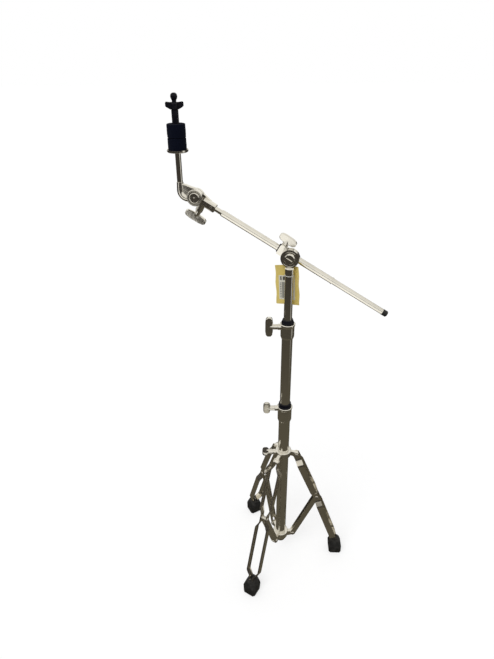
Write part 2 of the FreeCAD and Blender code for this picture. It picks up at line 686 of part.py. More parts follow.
def side_outline(half, top, low):
    """The leg seen from its side: straight to the knee, then bent by the shin's angle."""
    across_x = half * cosine(SHIN_BEND)
    across_z = half * sine(SHIN_BEND)
    end_x = -(low * sine(SHIN_BEND))
    end_z = -(low * cosine(SHIN_BEND))
    mitre = half * tangent(SHIN_BEND / 2)
    return [(half, top), (half, -mitre), (end_x + across_x, end_z - across_z),
            (end_x - across_x, end_z + across_z), (-half, mitre), (-half, top)]


def bowed_levels():
    """Outer half width and thickness of the pair of strips, from the hub down to the foot."""
    span = D.link_span
    hub_half = D.upper_ear_width / 2 + D.link_gap + D.strip_flat
    knee_half = D.brace_width / 2 + D.link_gap + D.strip_flat
    flat, lip = D.strip_flat, D.strip_lip
    ankle = (KNEE_Z - D.foot_height) / cosine(D.shin_lean) - D.ankle_rise
    return [
        (hub_half, flat, span + D.strip_breadth), (hub_half, flat, span - 15),
        (D.thigh_bow, lip, span - 32), (D.thigh_bow, lip, as_size(28)),
        (knee_half, flat, as_size(13)), (knee_half, flat, as_size(-13)),
        (D.shin_bow, lip, as_size(-30)), (D.shin_bow, lip, D.ankle_taper - ankle),
        (D.ankle_half, flat, -ankle), (D.ankle_half, flat, -(SHIN_LENGTH + 6))]


def prism(label, role, reach, outline, eye=None):
    """A helper solid: an outline padded both ways from its plane."""
    body = new_body(label)
    slab(body, "slab", role, -as_size(reach), reach, outline)
    if eye is not None:
        slab(body, "eye", role, -as_size(reach), reach, eye)
    return body


def leg_strip(leg, side):
    """One folded steel strip of a leg: its side outline and its bowed front outline in common."""
    name = "leg_%d_%s_strip" % (leg + 1, "left" if side > 0 else "right")
    levels = bowed_levels()
    outer = [(half * side, z) for half, thick, z in levels]
    inner = [((half - thick) * side, z) for half, thick, z in levels]
    web = [((half - D.strip_web) * side, z) for half, thick, z in levels]
    deep = [((half - 12) * side, z) for half, thick, z in levels]
    breadth = D.strip_breadth / 2
    span = D.link_span
    outline = prism(name + "_outline", "XZ_Plane", 40,
                    side_outline(breadth, span, SHIN_LENGTH), (0, span, breadth))
    bow = prism(name + "_bow", "YZ_Plane", 70, outer + inner[::-1])
    rounded(bow, "bends", D.bend_round, bend_edges(levels, side))
    inset = breadth - D.strip_web
    trough = prism(name + "_trough", "XZ_Plane", 40, side_outline(inset, span - 30, SHIN_LENGTH - 34))
    hollow = prism(name + "_hollow", "YZ_Plane", 70, web + deep[::-1])
    rounded(hollow, "bends", D.bend_round, bend_edges(levels, side))
    strip = doc.addObject("Part::Common", name + "_solid")
    strip.Base, strip.Tool = outline, bow
    channel = doc.addObject("Part::Common", name + "_channel")
    channel.Base, channel.Tool = trough, hollow
    holes = doc.addObject("Part::MultiFuse", name + "_holes")
    holes.Shapes = [pin_bore(name + "_hub_hole", span, D.hub_pin_r + D.pin_fit),
                    pin_bore(name + "_knee_hole", as_size(0), D.knee_pin_r + D.pin_fit)]
    folded = doc.addObject("Part::Cut", name + "_folded")
    folded.Base, folded.Tool = strip, channel
    part = doc.addObject("Part::Cut", name)
    part.Label = name
    part.Base, part.Tool = folded, holes
    return finished(part, *leg_frame(leg))


def pin_bore(name, z, radius):
    """A cylinder across the leg for cutting a pin hole."""
    bore = doc.addObject("Part::Cylinder", name)
    bind(bore, "Radius", radius)
    bore.Height = 80
    bore.Placement = placed(y=40, axis=(1, 0, 0), angle=90)
    bore.setExpression("Placement.Base.z", z.text)
    return bore


def bend_edges(levels, side):
    """Picks the edges across the strip where its bow starts and ends."""
    heights = [z.value for half, thick, z in levels[1:-1]]

    def chosen(edge):
        start, end = (vertex.Point for vertex in edge.Vertexes[:2]) if len(edge.Vertexes) > 1 else (None, None)
        if start is None or abs(start.y - end.y) > 1e-6 or abs(start.z - end.z) > 1e-6:
            return False
        return any(abs(start.z - height) < 1e-6 for height in heights)

    return chosen


def foot(leg):
    """A rubber boot with a slot for each strip. Local origin on the floor under its middle, +Z up."""
    body = new_body("leg_%d_foot" % (leg + 1))

    def leg_line(z):
        return D.foot_inset - z * tangent(D.shin_lean)

    sections = [
        (as_size(0), D.foot_long / 2 - 4, D.foot_wide / 2 - 4, as_size(0)),
        (as_size(4), D.foot_long / 2 - 1, D.foot_wide / 2 - 1, as_size(0)),
        (D.foot_height * 0.6, D.foot_long / 2, D.foot_wide / 2, leg_line(D.foot_height) / 2),
        (D.foot_height, D.foot_top_long / 2, D.foot_top_wide / 2, leg_line(D.foot_height))]
    sketches = []
    for i, (z, long_half, wide_half, x) in enumerate(sections):
        sketch = new_sketch(body, "section_%d" % (i + 1), "XY_Plane", z)
        polygon(sketch, clipped_box(x, long_half, wide_half, 4.5))
        sketches.append(sketch)
    lofted(body, "boot", sketches)
    half_long = D.strip_breadth / 2 / cosine(D.shin_lean) + D.foot_fit
    inner = D.ankle_half - D.strip_flat - D.foot_fit
    outer = D.ankle_half + D.foot_fit
    for name, side in (("left_slot", 1), ("right_slot", -1)):
        mouths = []
        for level, z in (("deep", D.foot_floor), ("mouth", D.foot_height + 1)):
            sketch = new_sketch(body, name + "_" + level, "XY_Plane", z)
            x = leg_line(z)
            polygon(sketch, [(x - half_long, side * inner), (x + half_long, side * inner),
                             (x + half_long, side * outer), (x - half_long, side * outer)])
            mouths.append(sketch)
        lofted(body, name, mouths, "PartDesign::SubtractiveLoft")
    return finished(body, leg_turn(leg), placed(x=FOOT_R))


def clipped_box(x, long_half, wide_half, clip):
    """A rectangle with clipped corners."""
    return [(x - long_half, clip - wide_half), (x - long_half + clip, -wide_half),
            (x + long_half - clip, -wide_half), (x + long_half, clip - wide_half),
            (x + long_half, wide_half - clip), (x + long_half - clip, wide_half),
            (x - long_half + clip, wide_half), (x - long_half, wide_half - clip)]


# ---------------------------------------------------------------- boom tilter

def tilter_base():
    """The fixed disc on its neck and ferrule. Pole frame."""
    body = new_body("boom_tilter_base")
    back, front = -D.disc_back, D.disc_front
    slab(body, "disc", "XZ_Plane", back, front, (0, 0, D.tilter_r))
    half = D.neck_width / 2
    slab(body, "neck", "XZ_Plane", back, front, [
        (-half - 2, -10), (half + 2, -10), (half, -D.ferrule_top - 1), (-half, -D.ferrule_top - 1)])
    roof = D.ferrule_top + D.ferrule_roof
    bore = D.upper_tube_r + D.press_gap
    turned(body, "ferrule", "Z", [
        (0, -D.ferrule_top), (D.ferrule_r - 2, -D.ferrule_top), (D.ferrule_r, -D.ferrule_top - 2),
        (D.ferrule_r, -D.ferrule_low), (bore, -D.ferrule_low), (bore, -roof), (0, -roof)])
    slab(body, "pivot_hole", "XZ_Plane", back - 1, front + 1, (0, 0, D.pivot_bolt_r + 0.1), cut=True)
    turned(body, "face_groove", "Y", [
        (D.tilter_r - 5, front - 1), (D.tilter_r - 2.5, front - 1), (D.tilter_r - 2.5, front + 1),
        (D.tilter_r - 5, front + 1)], cut=True)
    return finished(body, POLE)


def tilter_head():
    """The tilting disc with the boom clamp behind it. Head frame."""
    body = new_body("boom_tilter_head")
    washer_back = -(D.disc_back + D.brake_gap + D.brake_thick)
    disc_back = washer_back - D.head_disc
    axis_y, axis_z = -D.boom_offset, -D.boom_drop
    slab(body, "disc", "XZ_Plane", disc_back, washer_back, (0, 0, D.tilter_r))
    boss_top = axis_z + D.clamp_boss_top
    low, high = axis_z - D.clamp_r, axis_z + D.clamp_r
    # The clamp's flat front stays behind the hang tag; only the web inside the disc's rim reaches past it.
    slab(body, "block", "XZ_Plane", axis_y, -(D.ferrule_r + D.tag_gap + D.tag_thick + 0.6), [
        (-D.clamp_back + 2, low), (D.clamp_front - 1, low), (D.clamp_front, low + 1), (D.clamp_front, high),
        (D.clamp_screw_x + D.boss_r, boss_top - 0.5), (D.clamp_screw_x - D.boss_r, boss_top - 0.5),
        (0, high + 2), (-D.clamp_back + 2, high)])
    slab(body, "web", "XZ_Plane", axis_y, disc_back, [
        (-D.clamp_back + 2, low), (14, low), (14, high + 2), (-D.clamp_back + 2, high + 2)])
    slab(body, "clamp", "YZ_Plane", -D.clamp_back, D.clamp_front, (axis_y, axis_z, D.clamp_r))
    slab(body, "boss", "XY_Plane", axis_z, boss_top, (D.clamp_screw_x, axis_y, D.boss_r + 0.5))
    bore = D.boom_r + D.bush_gap + D.liner_wall + 0.15
    slab(body, "clamp_bore", "YZ_Plane", -D.clamp_back - 1, D.clamp_front + 1, (axis_y, axis_z, bore),
         cut=True)
    slab(body, "screw_hole", "XY_Plane", axis_z, boss_top + 1,
         (D.clamp_screw_x, axis_y, D.screw_r + D.screw_fit), cut=True)
    slab(body, "pivot_hole", "XZ_Plane", -12, washer_back + 1,
         (0, 0, D.pivot_bolt_r + D.screw_fit), cut=True)
    return finished(body, HEAD)


def friction_washer(label, back, thick, hole, radius, *frames):
    body = new_body(label)
    turned(body, "washer", "Y", [(hole, back), (radius, back), (radius, back + thick), (hole, back + thick)])
    return finished(body, *frames)


def slotted_bolt():
    """The boom tilter's bolt, with a coin slot along the boom. Head frame."""
    body = new_body("boom_pivot_bolt")
    seat = D.disc_front + 0.15
    head, head_r, shank_end = D.pivot_cap, D.pivot_cap_r, as_size(-11.5)
    turned(body, "bolt", "Y", [
        (0, shank_end), (D.pivot_bolt_r, shank_end), (D.pivot_bolt_r, seat), (head_r, seat),
        (head_r, seat + head * 0.5), (head_r - 1.5, seat + head), (0, seat + head)])
    slab(body, "key_slot", "XZ_Plane", seat + head * 0.45, seat + head + 1, [
        (-head_r * 0.62, -1.1), (head_r * 0.62, -1.1), (head_r * 0.62, 1.1), (-head_r * 0.62, 1.1)], cut=True)
    return finished(body, HEAD)


def ringed_bolt():
    """The cymbal tilter's bolt: a dished head with a nub in its middle. Post frame."""
    body = new_body("cymbal_pivot_bolt")
    seat = D.arm_thick + 0.15
    rim = D.head_cap_r
    turned(body, "bolt", "Y", [
        (0, 0.5 - D.head_thick), (D.pivot_bolt_r, 0.5 - D.head_thick), (D.pivot_bolt_r, seat), (rim, seat),
        (rim, seat + 1.6), (rim - 0.8, seat + 2.2), (rim - 1.8, seat + 0.9), (2.6, seat + 0.9),
        (2, seat + 2), (0, seat + 2.4)])
    return finished(body, POST)


def boom_liner():
    body = new_body("boom_clamp_liner")
    bore = D.boom_r + D.bush_gap
    outer = bore + D.liner_wall
    lip = outer + 1
    back = -D.clamp_back - D.turn_gap
    front = D.clamp_front + D.turn_gap
    turned(body, "liner", "X", [
        (back - D.liner_lip, bore), (back - D.liner_lip, lip), (back, lip), (back, outer),
        (front, outer), (front, lip), (front + D.liner_lip, lip), (front + D.liner_lip, bore)])
    return finished(body, BOOM)


# ---------------------------------------------------------------- boom

def boom_pieces():
    tube_body = new_body("boom_tube")
    inner = D.boom_r - D.boom_wall
    turned(tube_body, "wall", "X", [
        (-D.boom_step_x, inner), (-D.boom_step_x, D.boom_r), (D.boom_front_x, D.boom_r),
        (D.boom_front_x, inner)])
    finished(tube_body, BOOM)

    rod = new_body("boom_back_rod")
    spigot = inner - D.press_gap
    step = -D.boom_step_x - 0.05
    turned(rod, "rod", "X", [
        (-D.boom_back_x, 0), (-D.boom_back_x, D.boom_back_r), (step, D.boom_back_r), (step, spigot),
        (step + 20, spigot), (step + 20, 0)])
    finished(rod, BOOM)

    ring = new_body("boom_stop_ring")
    ring_bore = D.boom_r + D.press_gap
    turned(ring, "ring", "X", [
        (-D.boom_step_x, ring_bore), (-D.boom_step_x, D.stop_ring_r),
        (D.stop_ring - D.boom_step_x, D.stop_ring_r), (D.stop_ring - D.boom_step_x, ring_bore)])
    finished(ring, BOOM)

    cap = new_body("boom_end_cap")
    cap_r = D.boom_back_r + 0.5
    back = -D.boom_back_x - D.end_cap
    mouth = D.end_cap_grip - D.boom_back_x
    cap_bore = D.boom_back_r + D.press_gap
    turned(cap, "cap", "X", [
        (back, 0), (back, cap_r - 1.6), (back + 1.6, cap_r), (mouth, cap_r), (mouth, cap_bore),
        (-D.boom_back_x, cap_bore), (-D.boom_back_x, 0)])
    finished(cap, BOOM)

    front = new_body("boom_front_rod")
    tube_end = D.boom_front_x + 0.1
    turned(front, "rod", "X", [
        (tube_end - 16, 0), (tube_end - 16, spigot), (tube_end, spigot), (tube_end, D.boom_r - 0.6),
        (tube_end + 2, D.boom_r - 0.6), (tube_end + 2, D.spigot_r), (D.socket_x + 17, D.spigot_r),
        (D.socket_x + 17, 0)])
    finished(front, BOOM)


HEAD_SCREW_Y = -(D.head_boss_r + D.brake_thick + 2 * D.brake_gap)


def tilter_socket():
    """The socket on the boom's front end, with its disc and the wing bolt's boss. Boom frame."""
    body = new_body("cymbal_tilter_socket")
    nose = D.head_x - D.head_r - 1
    slab(body, "socket", "YZ_Plane", D.socket_x, nose, clipped_box(0, D.socket_r, D.socket_r, 3.2))
    rounded(body, "socket_ends", 0.8, edge_on("x", D.socket_x), "PartDesign::Chamfer")
    back = -D.head_thick - 1.2
    front = -(D.brake_gap + D.brake_thick)
    slab(body, "disc", "XZ_Plane", back, front, (D.head_x, 0, D.head_r))
    slab(body, "arm", "XZ_Plane", back, front, [
        (D.socket_x + 15, -D.socket_r + 0.4), (D.head_x, -D.head_r + 1), (D.head_x, D.head_r - 1),
        (D.socket_x + 15, D.socket_r - 0.4)])
    slab(body, "boss", "XY_Plane", -D.head_boss, -2, (D.head_screw_x, HEAD_SCREW_Y, D.head_boss_r))
    slab(body, "rod_hole", "YZ_Plane", D.socket_x - 1, D.socket_x + 18, (0, 0, D.spigot_r + D.press_gap),
         cut=True)
    slab(body, "screw_hole", "XY_Plane", -D.head_boss - 1, -5,
         (D.head_screw_x, HEAD_SCREW_Y, D.screw_r + D.screw_fit), cut=True)
    slab(body, "set_screw_hole", "XZ_Plane", 0, D.socket_r + 1, (D.socket_x + 9, 0, 2.56), cut=True)
    slab(body, "pivot_hole", "XZ_Plane", back + 1.5, 1, (D.head_x, 0, D.pivot_bolt_r + D.screw_fit), cut=True)
    return finished(body, BOOM)


def set_screw():
    body = new_body("socket_set_screw")
    low = D.spigot_r + 0.15
    turned(body, "screw", "Y", [(0, low), (2.5, low), (2.5, D.socket_r + 0.8), (0, D.socket_r + 0.8)])
    return finished(body, BOOM, placed(x=D.socket_x + 9))


def tilter_arm():
    """The tilting disc with the elbow and collar that hold the post. Post frame."""
    body = new_body("cymbal_tilter_arm")
    front = D.arm_thick
    hood_front = D.post_y * 2
    slab(body, "hood", "XZ_Plane", 0, hood_front, [
        (-7, D.head_r - 2), (1, D.head_r + 3), (5, D.head_r + 4), (D.post_x - 12, D.arm_collar_top - 5),
        (D.post_x - 4, D.arm_collar_top - 3), (D.post_x - 4, D.elbow_top - 8), (0, 0)])
    rounded(body, "hood_bevel", 1.6, edge_on("y", hood_front), "PartDesign::Chamfer")
    slab(body, "disc", "XZ_Plane", 0, front, (0, 0, D.head_r))
    rounded(body, "disc_round", 1.5, edge_on("y", front))
    elbow(body, "elbow", D.post_x, D.post_y, D.elbow_top, D.elbow_r, D.elbow_bend)
    reach = D.elbow_top - D.elbow_bend
    slab(body, "root", "YZ_Plane", 0, D.post_x - D.elbow_bend, (D.post_y, reach, D.elbow_r))
    rings = []
    for name, z, radius in (("low", D.elbow_top, D.elbow_r), ("high", D.arm_collar_top, D.arm_collar_r)):
        sketch = new_sketch(body, "collar_" + name, "XY_Plane", z)
        circle(sketch, D.post_x, D.post_y, radius)
        rings.append(sketch)
    lofted(body, "collar", rings)
    # The arm stays on its own side of the fixed disc.
    clear = D.head_r + 3
    slab(body, "flat_back", "XZ_Plane", -D.elbow_r, 0, [
        (-clear, -clear), (clear, -clear), (clear, clear), (-clear, clear)], cut=True)
    turned(body, "face_ring", "Y", [
        (D.head_r - 5, front - 1), (D.head_r - 2.4, front - 1), (D.head_r - 3, front + 1),
        (D.head_r - 4.4, front + 1)])
    slab(body, "post_hole", "XY_Plane", 12, D.arm_collar_top + 1,
         (D.post_x, D.post_y, D.post_r + D.press_gap), cut=True)
    slab(body, "pivot_hole", "XZ_Plane", -1, front + 1, (0, 0, D.pivot_bolt_r + 0.1), cut=True)
    return finished(body, POST)


def on_post():
    return POST.multiply(placed(x=D.post_x, y=D.post_y))


def post_pieces():
    """Everything that stands on the post's axis."""
    above = on_post()
    post = new_body("cymbal_post")
    turned(post, "post", "Z", [
        (0, 12.2), (D.post_r, 12.2), (D.post_r, D.post_top - 1), (D.post_r - 1, D.post_top),
        (D.rod_r + D.press_gap, D.post_top), (D.rod_r + D.press_gap, D.post_top - 16),
        (0, D.post_top - 16)])
    finished(post, above)

    rod = new_body("threaded_rod")
    turned(rod, "rod", "Z", [
        (0, D.post_top - 15), (D.rod_r, D.post_top - 15), (D.rod_r, D.rod_top), (0, D.rod_top)])
    finished(rod, above)

    cup = new_body("cymbal_cup")
    low = D.post_top + 0.05
    turned(cup, "cup", "Z", [
        (D.rod_r + D.press_gap, low), (D.cup_r - 1.5, low), (D.cup_r, low + 1.5),
        (D.cup_r, low + D.cup_rim), (D.cup_r - D.cup_sheet, low + D.cup_rim),
        (D.cup_r - D.cup_sheet, low + D.cup_sheet), (D.rod_r + D.press_gap, low + D.cup_sheet)])
    finished(cup, above)

    seat = FELT_SEAT
    hole = D.sleeve_r + 0.2
    felts = (("lower_felt", seat), ("upper_felt", seat + D.felt + D.felt_gap))
    for label, z in felts:
        felt = new_body(label)
        turned(felt, "felt", "Z", [
            (hole, z), (D.felt_r - 1.2, z), (D.felt_r, z + 1.2), (D.felt_r, z + D.felt - 1.2),
            (D.felt_r - 1.2, z + D.felt), (hole, z + D.felt)])
        finished(felt, above)

    sleeve = new_body("cymbal_sleeve")
    inner = D.rod_r + D.sleeve_bore_gap
    root = D.sleeve_r - D.sleeve_step
    shoulder = seat + 2 * (D.felt + D.felt_gap)
    turned(sleeve, "sleeve", "Z", [
        (inner, seat), (root, seat), (root, shoulder), (D.sleeve_r, shoulder),
        (D.sleeve_r, D.sleeve_top), (inner, D.sleeve_top)])
    finished(sleeve, above)


FELT_SEAT = D.post_top + 0.1 + D.cup_sheet


def wing_nut():
    """The plastic wing nut with its threaded insert, and the cap on the rod's end."""
    above = on_post()
    nut = new_body("cymbal_wing_nut")
    low = D.sleeve_top + D.turn_gap
    high = low + D.nut_height
    bore = D.insert_r + 0.1
    turned(nut, "body", "Z", [
        (D.rod_r + 0.3, low), (D.nut_r - 1.2, low), (D.nut_r, low + 1.2), (D.nut_r, high - 3),
        (D.nut_r - 2, high), (D.rod_r + 0.3, high), (D.rod_r + 0.3, low + 3 + D.insert_long + 0.2),
        (bore, low + 3 + D.insert_long + 0.2), (bore, low + 2.8), (D.rod_r + 0.3, low + 2.8)])
    half = D.nut_span / 2
    thick = D.nut_wing / 2
    inside = D.nut_r - 2
    for name, side in (("left", 1), ("right", -1)):
        slab(nut, name + "_wing", "XZ_Plane", -thick, thick, [
            (side * inside, low + 0.5), (side * (D.nut_r + 1), low + 1), (side * (half - 3), low + 4.5),
            (side * half, low + 7), (side * half, low + 13), (side * (half - 2), low + 15),
            (side * (D.nut_r + 2), high), (side * inside, high)])
    finished(nut, above, placed(angle=as_size(20)))

    insert = new_body("wing_nut_insert")
    base = low + 2.9
    turned(insert, "insert", "Z", [
        (D.rod_r + 0.06, base), (D.insert_r, base), (D.insert_r, base + D.insert_long),
        (D.rod_r + 0.06, base + D.insert_long)])
    finished(insert, above)

    cap = new_body("rod_cap")
    ball = D.tip_r
    low = D.tip_low
    bore = D.rod_r + 0.3
    turned(cap, "cap", "Z", [
        (bore, high + 0.05), (D.neck_r, high + 0.05), (D.neck_r, low), (ball * 0.85, low + ball * 0.3),
        (ball, low + ball * 0.75), (ball, low + ball * 1.2), (ball * 0.85, low + ball * 1.65),
        (ball * 0.5, low + ball * 1.92), (0, low + ball * 2), (0, D.rod_top + 0.3), (bore, D.rod_top + 0.3)])
    finished(cap, above)


# ---------------------------------------------------------------- hang tag

def hang_tag():
    loop_in = D.upper_tube_r + D.tie_gap
    loop_out = loop_in + D.tie_wide
    back = -(D.ferrule_r + D.tag_gap)
    frame = [POLE, placed(x=D.tag_side, z=-D.tag_low), placed(axis=(0, 1, 0), angle=D.tag_roll)]
    half_w = D.tag_wide / 2
    half_h = D.tag_tall / 2
    card = new_body("hang_tag")
    slab(card, "card", "XZ_Plane", back - D.tag_thick, back, [
        (-half_w, -half_h), (half_w, -half_h), (half_w, half_h), (-half_w, half_h)])
    rise = D.tag_low - D.tie_low
    hole_x = -(D.tag_side * cosine(D.tag_roll) + rise * sine(D.tag_roll))
    hole_z = rise * cosine(D.tag_roll) - D.tag_side * sine(D.tag_roll)
    eyelet = (hole_x, hole_z, D.eyelet_r)
    slab(card, "eyelet", "XZ_Plane", back - D.tag_thick - 1, back + 1, eyelet, cut=True)
    finished(card, *frame)

    label = new_body("tag_label")
    slab(label, "label", "XZ_Plane", back + 0.02, back + 0.14, [
        (half_w - 7 - D.label_wide, 20 - D.label_tall), (half_w - 7, 20 - D.label_tall),
        (half_w - 7, 20), (half_w - 7 - D.label_wide, 20)])
    finished(label, *frame)

    # The tie is a loop round the tube whose two sides run to a point through the eyelet.
    tie = new_body("tag_tie")
    slant = loop_out / (D.tie_tip - back)
    for name, loop_r, past in (("loop", loop_out, 0), ("opening", loop_in, 1)):
        low = -D.tie_low - D.tie_tall / 2 - past
        high = -D.tie_low + D.tie_tall / 2 + past
        side = loop_r * square_root(1 - slant * slant)
        shoulder = -loop_r * slant
        tip = -loop_r / slant
        slab(tie, name, "XY_Plane", low, high, (0, 0, loop_r), cut=past > 0)
        slab(tie, name + "_tails", "XY_Plane", low, high, [
            (side, shoulder), (-side, shoulder), (0, tip)], cut=past > 0)
    finished(tie, POLE)


# ---------------------------------------------------------------- the stand

def build():
    tube("base_tube", D.base_tube_r, D.base_wall, D.base_tube_low, D.base_tube_top)
    tube("middle_tube", D.middle_tube_r, D.middle_wall, D.middle_tube_low, D.middle_tube_top)
    upper_top = D.tilter_z - D.ferrule_top - D.ferrule_roof - 0.05
    tube("upper_tube", D.upper_tube_r, D.upper_wall, D.upper_tube_low, upper_top)
    base_tube_plug()

    stages = (
        ("base", D.base_tube_r, D.middle_tube_r, D.base_tube_top, D.base_grip, D.base_boss_reach,
         D.base_screw_drop, D.base_wing_turn),
        ("middle", D.middle_tube_r, D.upper_tube_r, D.middle_tube_top, D.middle_grip, D.middle_boss_reach,
         D.middle_screw_drop, as_size(0)))
    for name, outer_r, inner_r, top, grip, reach, drop, turn in stages:
        collar(name + "_collar", outer_r, inner_r, top, grip, reach, drop)
        bushing(name + "_bushing", outer_r, inner_r, top)
        sleeve_r = inner_r + D.bush_gap + D.bush_wall
        wing_bolt(name + "_wing_bolt", reach - sleeve_r - 0.4, D.wing_hub, D.wing_span,
                  placed(x=-reach, z=top + D.collar_rise - drop), placed(angle=as_size(180)),
                  placed(axis=(1, 0, 0), angle=turn))

    lower_bore = D.base_tube_r + D.press_gap
    hub("lower_hub", D.low_pivot_z, D.lower_ring_rise, D.lower_ring_drop, D.lower_ear_width, lower_bore, False)
    upper_bore = D.base_tube_r + D.upper_hub_bore_gap
    hub("upper_hub", HIGH_PIVOT_Z, D.upper_ring_rise, D.upper_ring_drop, D.upper_ear_width, upper_bore, True)
    lower_reach = D.brace_width / 2 + 0.15
    finished(pins("lower_hub_pins", D.pivot_radius, D.low_pivot_z, D.hub_pin_r, lower_reach,
                  ring_of_three=True))
    upper_reach = D.upper_ear_width / 2 + D.link_gap + D.strip_flat + 0.15
    finished(pins("upper_hub_pins", D.pivot_radius, HIGH_PIVOT_Z, D.hub_pin_r, upper_reach,
                  ring_of_three=True))
    hub_screw_z = HIGH_PIVOT_Z + (D.upper_ring_rise - D.upper_ring_drop) / 2
    wing_bolt("hub_wing_bolt", D.hub_boss_reach - D.base_tube_r - 0.5, D.wing_hub, D.wing_span,
              placed(x=-D.hub_boss_reach, z=hub_screw_z), placed(angle=as_size(180)),
              placed(axis=(1, 0, 0), angle=D.hub_wing_turn))

    knee_reach = D.brace_width / 2 + D.link_gap + D.strip_flat + 0.05
    cheek = D.brace_width / 2 - D.brace_sheet - D.link_gap
    for leg in range(3):
        brace(leg)
        for side in (1, -1):
            leg_strip(leg, side)
        pin = pins("leg_%d_knee_pin" % (leg + 1), 0, 0, D.knee_pin_r, knee_reach, as_size(5.4), cheek)
        finished(pin, *leg_frame(leg))
        foot(leg)

    tilter_base()
    tilter_head()
    washer_back = -(D.disc_back + D.brake_gap + D.brake_thick)
    friction_washer("boom_friction_washer", washer_back + 0.02, D.brake_thick - 0.02,
                    D.pivot_bolt_r + 0.1, D.tilter_r - 1, HEAD)
    slotted_bolt()
    boom_liner()
    liner_r = D.boom_r + D.bush_gap + D.liner_wall
    wing_bolt("boom_wing_bolt", D.clamp_boss_top - liner_r - 0.5, D.short_wing_hub, D.boom_wing_span, BOOM,
              placed(x=D.clamp_screw_x, z=D.clamp_boss_top), placed(angle=D.boom_wing_turn),
              placed(axis=(0, 1, 0), angle=as_size(-90)))
    boom_pieces()
    tilter_socket()
    set_screw()
    friction_washer("cymbal_friction_washer", -(D.brake_gap + D.brake_thick) + 0.02, D.brake_thick - 0.02,
                    D.pivot_bolt_r + 0.1, D.head_r - 1, BOOM, placed(x=D.head_x))
    wing_bolt("cymbal_tilter_wing_bolt", D.head_boss - 6, D.tilter_wing_hub, D.wing_span, BOOM,
              placed(x=D.head_screw_x, y=HEAD_SCREW_Y, z=-D.head_boss),
              placed(axis=(0, 1, 0), angle=as_size(90)))
    tilter_arm()
    ringed_bolt()
    post_pieces()
    wing_nut()
    hang_tag()


def check_and_export():
    doc.recompute()
    failed = [item.Label for item in doc.Objects if "Invalid" in item.State or "Error" in item.State]
    if failed:
        raise RuntimeError("failed: " + ", ".join(failed))
    for part in nodes:
        if part.Shape.isNull() or not part.Shape.isValid() or not part.Shape.Solids:
            raise RuntimeError("bad shape: " + part.Label)
    os.makedirs("parts", exist_ok=True)
    for part in nodes:
        part.Shape.exportStep(os.path.join("parts", part.Label + ".step"))
    print("sub-parts:", len(nodes))


build()
check_and_export()
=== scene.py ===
import json
import math

import bmesh
import bpy
from mathutils import Matrix, Vector, noise

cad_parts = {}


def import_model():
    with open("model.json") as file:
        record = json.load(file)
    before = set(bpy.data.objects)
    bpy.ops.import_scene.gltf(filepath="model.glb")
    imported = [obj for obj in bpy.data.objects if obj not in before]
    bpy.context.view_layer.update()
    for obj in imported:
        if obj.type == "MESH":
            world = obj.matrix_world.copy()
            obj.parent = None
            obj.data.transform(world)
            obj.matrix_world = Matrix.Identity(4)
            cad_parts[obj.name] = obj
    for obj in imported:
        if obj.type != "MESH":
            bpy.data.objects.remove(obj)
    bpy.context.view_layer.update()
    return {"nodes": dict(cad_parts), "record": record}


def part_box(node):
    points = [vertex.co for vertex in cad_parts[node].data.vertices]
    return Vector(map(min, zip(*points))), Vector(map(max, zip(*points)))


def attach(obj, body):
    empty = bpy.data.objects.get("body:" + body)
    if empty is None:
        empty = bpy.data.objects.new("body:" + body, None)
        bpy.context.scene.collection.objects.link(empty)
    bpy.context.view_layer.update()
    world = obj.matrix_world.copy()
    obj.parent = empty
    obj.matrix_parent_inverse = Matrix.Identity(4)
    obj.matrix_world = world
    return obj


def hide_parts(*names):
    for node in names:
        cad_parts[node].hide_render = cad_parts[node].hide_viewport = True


# A chrome boom stand for a cymbal, on a pale floor in front of a white background.
# Everything is in metres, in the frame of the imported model: +Z up, the floor at Z 0.

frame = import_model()
nodes = frame["nodes"]
mm = 0.001


# ---------------------------------------------------------------- camera and light

EYE = Vector((-0.0513, -1.0042, 1.3282))
HEADING = math.radians(92.37)
DOWN = math.radians(29.58)
ROLL = math.radians(-0.62)
LENS_MM = 27.456
NEAREST = 0.05


def axes(right, up, back, place):
    """The matrix of a thing at place, with these as its own X, Y and Z."""
    return Matrix((
        (right.x, up.x, back.x, place.x),
        (right.y, up.y, back.y, place.y),
        (right.z, up.z, back.z, place.z),
        (0, 0, 0, 1)))


def camera():
    """An upright frame, a metre in front of the stand and looking down at it, as a person holds a phone."""
    flat = math.cos(DOWN)
    ahead = Vector((math.cos(HEADING) * flat, math.sin(HEADING) * flat, -math.sin(DOWN)))
    level = Vector((math.sin(HEADING), -math.cos(HEADING), 0))
    over = level.cross(ahead)
    right = level * math.cos(ROLL) + over * math.sin(ROLL)
    up = over * math.cos(ROLL) - level * math.sin(ROLL)
    data = bpy.data.cameras.new("camera")
    data.lens = LENS_MM
    data.clip_start = NEAREST
    view = bpy.data.objects.new("camera", data)
    view.matrix_world = axes(right, up, -ahead, EYE)
    bpy.context.scene.collection.objects.link(view)
    bpy.context.scene.camera = view
    bpy.context.scene.view_settings.view_transform = "Standard"


